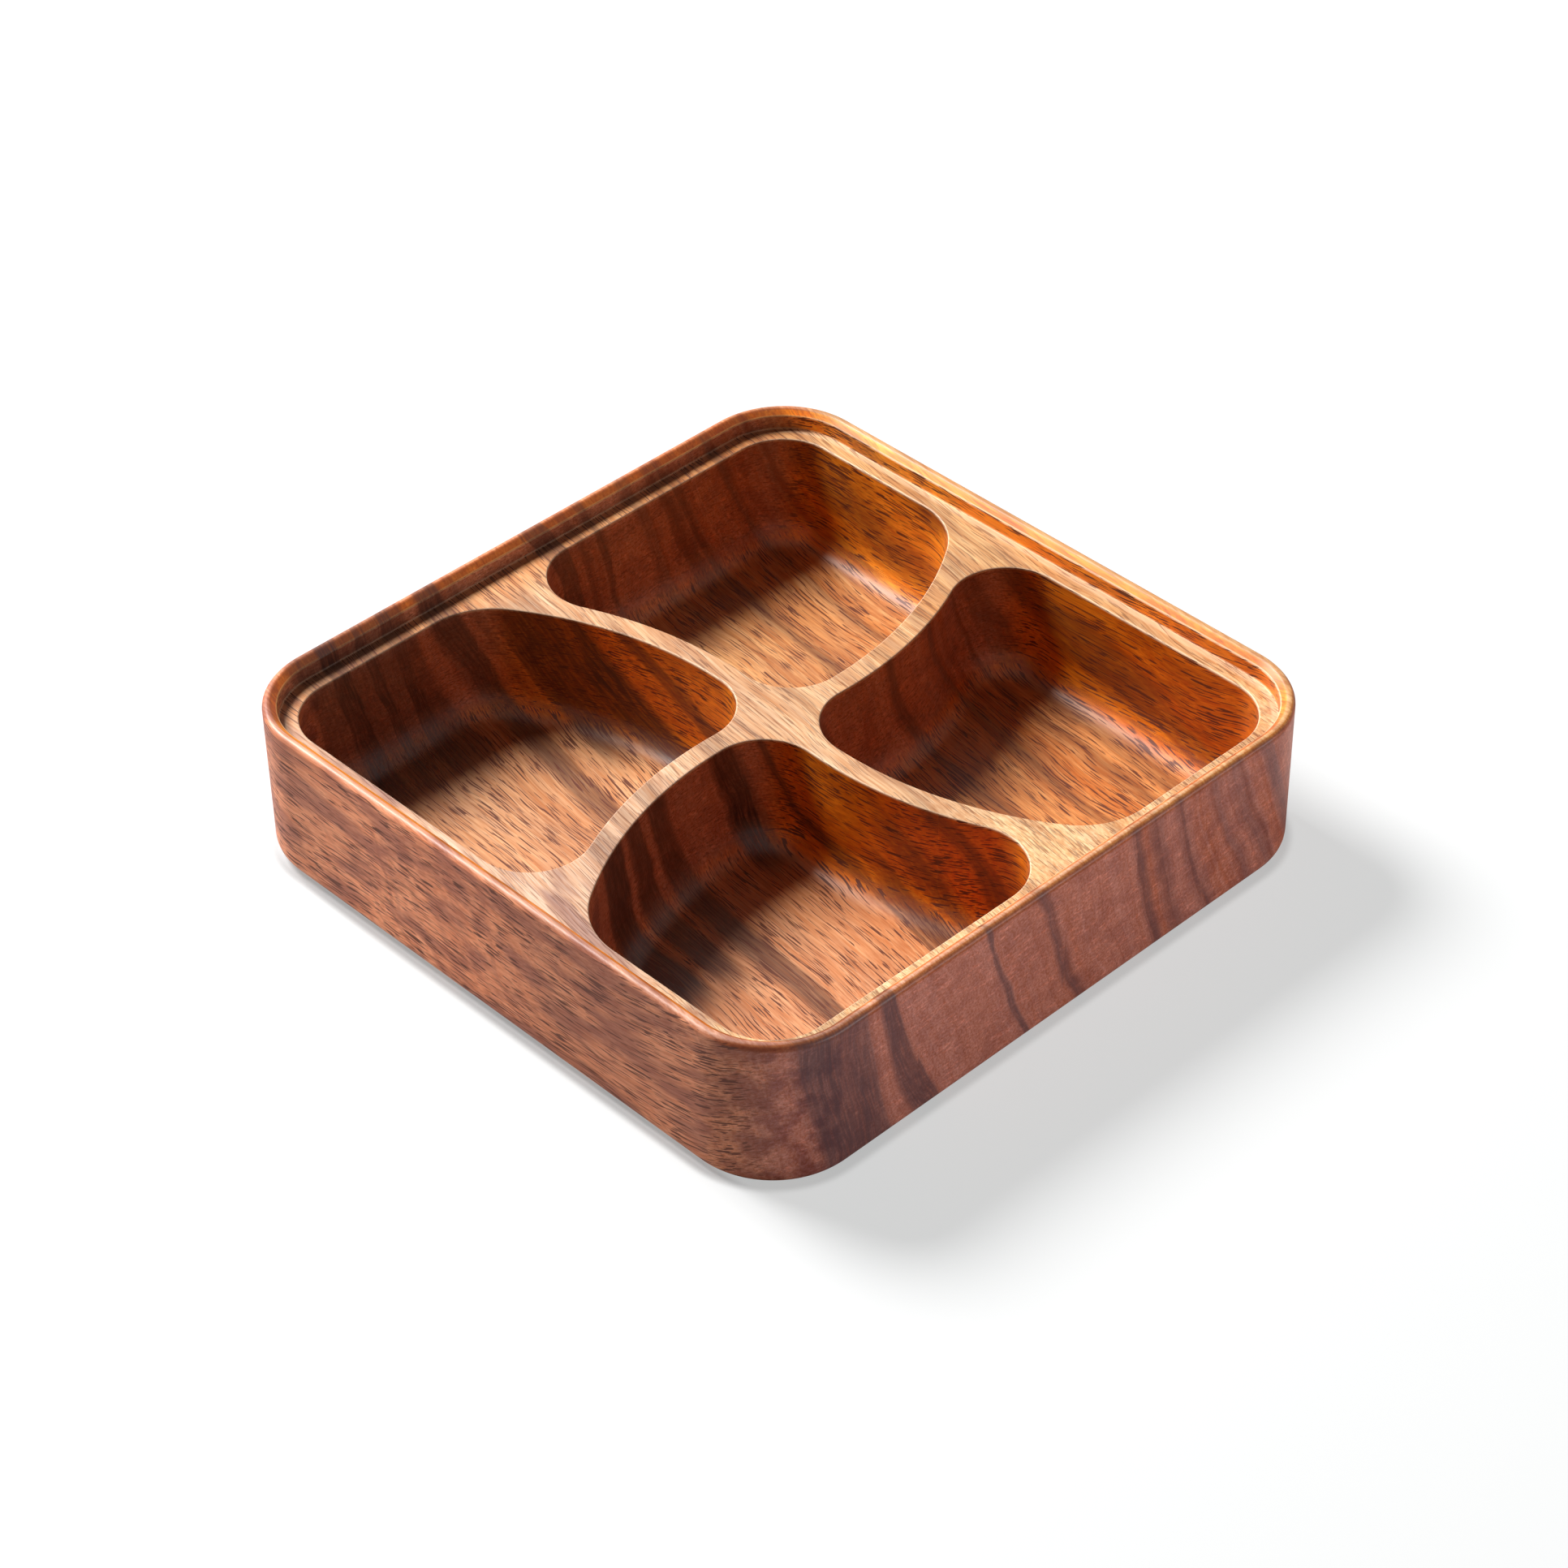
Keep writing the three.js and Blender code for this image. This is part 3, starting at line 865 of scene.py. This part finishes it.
def stave_wood_group():
    """Colour, sheen and relief of one lacquered stave."""
    tree, given, result = new_group(
        "stave_wood",
        [
            ("Place", VECTOR, None),
            ("Facing", VECTOR, None),
            ("Shift", VALUE, 0.0),
            ("Depth", VALUE, 0.5),
            ("Redness", VALUE, 0.3),
        ],
        [("Colour", COLOUR), ("Roughness", VALUE), ("Height", VALUE)],
    )
    place = vector_times(tree, given["Place"], (1 / MM, 1 / MM, 1 / MM))
    x, y, z = apart(tree, place)
    run, _, up = apart(tree, given["Facing"])
    grain = placed_group(tree, grain_lines, Place=place, Shift=given["Shift"])
    ring, fibre = grain["Ring"], grain["Fibre"]
    streak = placed_group(tree, dark_streaks, Ring=ring, Fibre=fibre)["Streak"]
    bands = placed_group(tree, growth_bands, Ring=ring, Fibre=fibre)
    level = eased(tree, maths(tree, "ABSOLUTE", up), 0.4, 0.85)
    breadth = eased(tree, level, 0.3, 0.7, THROUGH, ACROSS)
    height = eased(tree, level, 0.3, 0.7, ACROSS, THROUGH)
    dashes = placed_group(
        tree, pores, Fibre=fibre, Length=PORE_LENGTH, Breadth=breadth, Height=height, Bare=PORE_BARE,
    )["Pores"]
    lines = placed_group(
        tree, vessel_lines, Fibre=fibre, Length=VESSEL_LENGTH, Breadth=times(tree, breadth, VESSEL_SPREAD),
        Height=times(tree, height, VESSEL_SPREAD), Width=VESSEL_WIDTH,
    )["Lines"]
    flecks = placed_group(tree, ray_flecks, Fibre=fibre)["Flecks"]
    fibres = placed_group(tree, fine_fibres, Fibre=fibre)["Fibres"]
    figure = placed_group(tree, wavy_figure, Fibre=fibre)["Figure"]
    across = placed_group(tree, end_grain, Facing=given["Facing"])["Across"]
    # Masks for the compartments and for the painted light and shade below.
    masks = placed_group(tree, light_and_shade_masks, Place=place, Facing=given["Facing"])

    tone = maths(tree, "MULTIPLY_ADD", bands["Band"], 0.7, 0.3)
    colour = blended(tree, "MIX", times(tree, tone, given["Depth"]), HONEY, AMBER)
    colour = blended(tree, "MIX", times(tree, figure, given["Redness"]), colour, RUSSET)
    hidden = maths(tree, "MAXIMUM", times(tree, masks["Painted_sheen"], 0.65), times(tree, across, 0.4))
    lined = times(tree, times(tree, bands["Line"], 0.34), rest_of(tree, hidden))
    colour = blended(tree, "MIX", lined, colour, RUSSET)
    fibre_tint = blended(tree, "MIX", eased(tree, fibres, 0.25, 0.75), DARK_FIBRE_TINT, PALE_FIBRE_TINT)
    colour = blended(tree, "MULTIPLY", 1.0, colour, fibre_tint)
    inner_end = maths(tree, "MULTIPLY_ADD", masks["Sunk"], 0.5, times(tree, masks["Inside"], 0.5))
    # Floor tints by compartment, partly painted sheen.
    floor = times(tree, masks["Sunk"], eased(tree, up, 0.6, 0.95))
    back = eased(tree, y, -110, 110, kind="LINEAR")
    right = eased(tree, x, -60, 60, kind="LINEAR")
    front_floor = blended(tree, "MIX", right, FRONT_LEFT_FLOOR_TINT, FRONT_RIGHT_FLOOR_TINT)
    back_floor = blended(tree, "MIX", right, BACK_LEFT_FLOOR_TINT, BACK_RIGHT_FLOOR_TINT)
    floor_tint = blended(tree, "MIX", eased(tree, y, -60, 60), front_floor, back_floor)
    colour = blended(tree, "MULTIPLY", floor, colour, floor_tint)
    outside = rest_of(tree, maths(tree, "MAXIMUM", masks["Inside"], masks["Painted_sheen"]))
    colour = blended(tree, "MULTIPLY", outside, colour, OUTER_TINT)
    paler = between(tree, x, PALER_ZONE)
    colour = shaded(tree, colour, maths(tree, "MULTIPLY_ADD", times(tree, paler, outside), 0.22, 0.96))
    # End grain with a painted blue haze for the shaded ends, and a warmer painted lit copy where the ends
    # face the lamp.
    end_grain_and_haze_tint = blended(tree, "MIX", inner_end, END_GRAIN_AND_SHADE_HAZE_TINT, INNER_END_GRAIN_AND_SHADE_HAZE_TINT)
    colour = blended(tree, "MULTIPLY", across, colour, end_grain_and_haze_tint)
    facing_lamp = eased(tree, run, -0.3, -0.9)
    colour = blended(tree, "MULTIPLY", facing_lamp, colour, PAINTED_LIT_END_TINT)
    colour = shaded(tree, colour, maths(tree, "MULTIPLY_ADD", times(tree, flecks, across), 0.35, 0.95))
    # Painted bounce light and shade on the compartments' upright walls.
    bounce_shade_tint = blended(tree, "MIX", right, PAINTED_BOUNCE_SHADE_LEFT_TINT, PAINTED_BOUNCE_SHADE_RIGHT_TINT)
    colour = blended(tree, "MULTIPLY", masks["Painted_bounce_shade"], colour, bounce_shade_tint)
    # Painted sheen on the level tops, the crown and the compartments' top edges.
    sheen_tint = blended(tree, "MIX", back, PAINTED_SHEEN_FRONT_TINT, PAINTED_SHEEN_BACK_TINT)
    high = eased(tree, z, SEAT_HEIGHT_MM + 3, SEAT_HEIGHT_MM + 5)
    right_seat = times(tree, eased(tree, x, 40, 105), rest_of(tree, high))
    sheen_tint = blended(tree, "MIX", right_seat, sheen_tint, PAINTED_SHEEN_RIGHT_TINT)
    colour = blended(tree, "MULTIPLY", masks["Painted_sheen"], colour, sheen_tint)
    # Painted light on the back wall of the lid seat.
    colour = blended(tree, "MULTIPLY", masks["Painted_lit_lip"], colour, PAINTED_LIGHT_LIP_TINT)
    # Painted highlight lines on the eased edges.
    colour = blended(tree, "MIX", times(tree, masks["Painted_highlight_lines"], 0.62), colour, PAINTED_HIGHLIGHT_PALE)
    # Painted shade on the rim's rounding at the +X end.
    colour = blended(tree, "MULTIPLY", masks["Painted_shade_round"], colour, PAINTED_SHADE_ROUND_TINT)
    faded = maths(tree, "MULTIPLY_ADD", masks["Painted_sheen"], -0.6, 1.0)
    sawn_end = times(tree, across, rest_of(tree, masks["Inside"]))
    dark = blended(tree, "MIX", sawn_end, STREAK_BROWN, END_STREAK_BROWN)
    colour = blended(tree, "MIX", times(tree, streak, faded), colour, dark)
    holes = maths(tree, "MAXIMUM", times(tree, dashes, 0.95), times(tree, lines, 0.8))
    holes = times(tree, holes, maths(tree, "MULTIPLY_ADD", masks["Painted_sheen"], -0.42, 1.0))
    holes = times(tree, holes, maths(tree, "MULTIPLY_ADD", times(tree, high, level), -0.75, 1.0))
    shut = eased(tree, masks["Inside"], 0, 1, 0.12, 0.45)
    holes = times(tree, holes, eased(tree, across, 0, 1, 1, shut))
    colour = blended(tree, "MIX", holes, colour, PORE_BROWN)
    feed(tree, result["Colour"], colour)
    sheen = maths(tree, "MULTIPLY_ADD", fibres, FIBRE_ROUGHNESS, SATIN_ROUGHNESS)
    feed(tree, result["Roughness"], maths(tree, "MULTIPLY_ADD", holes, PORE_ROUGHNESS, sheen))
    sunk_pores = times(tree, holes, -1.0)
    feed(tree, result["Height"], maths(tree, "MULTIPLY_ADD", fibres, FIBRE_RELIEF, sunk_pores))
    return tree


grain_lines = grain_lines_group()
dark_streaks = dark_streaks_group()
growth_bands = growth_bands_group()
pores = pores_group()
vessel_lines = vessel_lines_group()
ray_flecks = ray_flecks_group()
fine_fibres = fine_fibres_group()
wavy_figure = wavy_figure_group()
end_grain = end_grain_group()
light_and_shade_masks = light_and_shade_masks_group()
stave_wood = stave_wood_group()


def lacquered_stave(name, shift, depth, redness):
    material = bpy.data.materials.new(name)
    material.use_nodes = True
    tree = material.node_tree
    shader = tree.nodes["Principled BSDF"]
    spot = tree.nodes.new("ShaderNodeTexCoord")
    wood = placed_group(
        tree, stave_wood, Place=spot.outputs["Object"], Facing=spot.outputs["Normal"],
        Shift=shift, Depth=depth, Redness=redness,
    )
    feed(tree, shader.inputs["Base Color"], wood["Colour"])
    feed(tree, shader.inputs["Roughness"], wood["Roughness"])
    relief = tree.nodes.new("ShaderNodeBump")
    relief.inputs["Strength"].default_value = RELIEF_STRENGTH
    relief.inputs["Distance"].default_value = RELIEF_DEPTH
    feed(tree, relief.inputs["Height"], wood["Height"])
    feed(tree, shader.inputs["Normal"], relief.outputs["Normal"])
    shader.inputs["Specular IOR Level"].default_value = MIRROR_LEVEL
    shader.inputs["Coat Weight"].default_value = COAT_WEIGHT
    shader.inputs["Coat Roughness"].default_value = COAT_ROUGHNESS
    return material


# Each stave: how far its rings are shifted in millimetres, depth of its bands, redness.
STAVE_TONES = {
    "front_edge_stave": (0.0, 0.5, 0.72),
    "front_outer_stave": (0.6, 0.55, 0.26),
    "front_inner_stave": (-0.5, 0.6, 0.26),
    "front_middle_stave": (0.4, 0.65, 0.26),
    "back_middle_stave": (-0.6, 0.8, 0.28),
    "back_inner_stave": (0.5, 0.95, 0.32),
    "back_outer_stave": (-0.4, 1.0, 0.36),
    "back_edge_stave": (0.5, 1.0, 0.36),
}

for node, stave in staves.items():
    stave.data.materials.clear()
    stave.data.materials.append(lacquered_stave(node + "_lacquer", *STAVE_TONES[node]))
    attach(stave, "root")
    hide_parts(node)

# Camera at the photo's angle.
VIEW_AZIMUTH = 0.8086
VIEW_ELEVATION = 0.6969
VIEW_ROLL = -0.0167
VIEW_DISTANCE = 1.3731
IMAGE_SIDE = 1932
FOCAL_PIXELS = 5196.08
PICTURE_SHIFT = (-5.098, 57.936)
SENSOR_WIDTH = 36

away = Vector((
    math.sin(VIEW_AZIMUTH) * math.cos(VIEW_ELEVATION),
    -math.cos(VIEW_AZIMUTH) * math.cos(VIEW_ELEVATION),
    math.sin(VIEW_ELEVATION),
))
right = Vector((math.cos(VIEW_AZIMUTH), math.sin(VIEW_AZIMUTH), 0))
up = away.cross(right)
roll_cos, roll_sin = math.cos(VIEW_ROLL), math.sin(VIEW_ROLL)
right, up = roll_cos * right + roll_sin * up, -roll_sin * right + roll_cos * up

bpy.ops.object.camera_add()
camera = bpy.context.object
camera.name = "photo_camera"
placed = Matrix((right, up, away)).transposed().to_4x4()
placed.translation = away * VIEW_DISTANCE
camera.matrix_world = placed
camera.data.sensor_width = SENSOR_WIDTH
camera.data.lens = FOCAL_PIXELS / IMAGE_SIDE * SENSOR_WIDTH
camera.data.shift_x = -PICTURE_SHIFT[0] / IMAGE_SIDE
camera.data.shift_y = PICTURE_SHIFT[1] / IMAGE_SIDE
camera.data.clip_start = 0.01
camera.data.clip_end = 50
bpy.context.scene.camera = camera

# A soft lamp on the left and low cards at the front and on the right, in a white room.
LAMP_ELEVATION = math.radians(45.5)
LAMP_SWING = math.radians(8)
LAMP_DISTANCE = 2.4
LAMP_SIZE = 1.0
LAMP_WATTS = 118
FRONT_CARD_PLACE = Vector((-0.75, -0.95, 0.06))
FRONT_CARD_SIZE = (1.2, 0.1)
FRONT_CARD_WATTS = 3.2
RIGHT_CARD_PLACE = Vector((1.05, 0.4, 0.055))
RIGHT_CARD_SIZE = (1.0, 0.09)
RIGHT_CARD_WATTS = 5.5
SURROUNDINGS = 0.038
WARM_ROOM = (1, 0.36, 0.12)
GROUND_BOUNCE = 0.48
GROUND_SEEN = 0.85
GROUND_GLOW = (0.974, 1, 1, 1)
SHADOW_DEPTH = 0.37
# Painted contact shadow on the ground: its reach, its strength at the front and on the other sides, its
# fade and the occlusion range it uses.
CONTACT_REACH = 0.0052
FRONT_CONTACT_SHADOW = 1.0
SIDE_CONTACT_SHADOW = 0.25
CONTACT_FADE = 5 * MM
CONTACT_OPENNESS = (0.64, 0.9)
GROUND_SIDE = 12


def aimed_lamp(name, place, size, watts):
    bpy.ops.object.light_add(type="AREA")
    lamp = bpy.context.object
    lamp.name = name
    lamp.data.shape = "RECTANGLE"
    lamp.data.size, lamp.data.size_y = size
    lamp.data.energy = watts
    lamp.location = place
    lamp.rotation_euler = place.to_track_quat("Z", "Y").to_euler()
    lamp.visible_camera = False
    return lamp


toward_lamp = Vector((
    -math.cos(LAMP_SWING) * math.cos(LAMP_ELEVATION),
    -math.sin(LAMP_SWING) * math.cos(LAMP_ELEVATION),
    math.sin(LAMP_ELEVATION),
))
left_lamp = aimed_lamp("left_lamp", toward_lamp * LAMP_DISTANCE, (LAMP_SIZE, LAMP_SIZE), LAMP_WATTS)
left_lamp.data.shape = "DISK"
aimed_lamp("front_card", FRONT_CARD_PLACE, FRONT_CARD_SIZE, FRONT_CARD_WATTS)
aimed_lamp("right_card", RIGHT_CARD_PLACE, RIGHT_CARD_SIZE, RIGHT_CARD_WATTS)


def by_camera(tree, otherwise, seen, mirrored=False):
    """One value for what the camera sees, straight or mirrored, another for light that bounces."""
    path = tree.nodes.new("ShaderNodeLightPath")
    looking = path.outputs["Is Camera Ray"]
    if mirrored:
        for ray in ("Is Glossy Ray", "Is Transmission Ray"):
            looking = maths(tree, "MAXIMUM", looking, path.outputs[ray])
    return eased(tree, looking, 0, 1, otherwise, seen, kind="LINEAR")


world = bpy.data.worlds.new("white_room")
bpy.context.scene.world = world
world.use_nodes = True
room = world.node_tree
warmth = [by_camera(room, part, 1.0, mirrored=True) for part in WARM_ROOM]
backdrop = room.nodes["Background"].inputs
feed(room, backdrop["Color"], together(room, *warmth))
feed(room, backdrop["Strength"], by_camera(room, SURROUNDINGS, 1.0, mirrored=True))

bpy.ops.mesh.primitive_plane_add(size=GROUND_SIDE, location=(0, 0, 0))
ground = bpy.context.object
ground.name = "ground"
white = bpy.data.materials.new("white_ground")
white.use_nodes = True
tree = white.node_tree
matt = tree.nodes["Principled BSDF"]
tone = by_camera(tree, GROUND_BOUNCE, GROUND_SEEN)
feed(tree, matt.inputs["Base Color"], together(tree, tone, tone, tone))
matt.inputs["Roughness"].default_value = 1
matt.inputs["Specular IOR Level"].default_value = 0
glow = tree.nodes.new("ShaderNodeEmission")
glow.inputs["Color"].default_value = GROUND_GLOW
# Painted contact shadow: the ground's glow darkens where ambient occlusion finds the tray close by, most
# along the front side.
nearby = tree.nodes.new("ShaderNodeAmbientOcclusion")
nearby.inputs["Distance"].default_value = CONTACT_REACH
spot = tree.nodes.new("ShaderNodeTexCoord")
front_line = (-HALF_SIDE - CONTACT_FADE, -HALF_SIDE + CONTACT_FADE)
shade = eased(tree, apart(tree, spot.outputs["Object"])[1], *front_line, FRONT_CONTACT_SHADOW, SIDE_CONTACT_SHADOW)
closed_in = eased(tree, nearby.outputs["AO"], *CONTACT_OPENNESS, 1, 0, kind="LINEAR")
feed(tree, glow.inputs["Strength"], rest_of(tree, times(tree, shade, closed_in)))
join = tree.nodes.new("ShaderNodeMixShader")
feed(tree, join.inputs[0], by_camera(tree, 0.0, 1 - SHADOW_DEPTH))
feed(tree, join.inputs[1], matt.outputs[0])
feed(tree, join.inputs[2], glow.outputs[0])
clear = tree.nodes.new("ShaderNodeBsdfTransparent")
from_below = tree.nodes.new("ShaderNodeNewGeometry").outputs["Backfacing"]
one_sided = tree.nodes.new("ShaderNodeMixShader")
feed(tree, one_sided.inputs[0], from_below)
feed(tree, one_sided.inputs[1], join.outputs[0])
feed(tree, one_sided.inputs[2], clear.outputs[0])
feed(tree, tree.nodes["Material Output"].inputs["Surface"], one_sided.outputs[0])
ground.data.materials.append(white)

bpy.context.scene.view_settings.view_transform = "Standard"

bpy.context.view_layer.update()
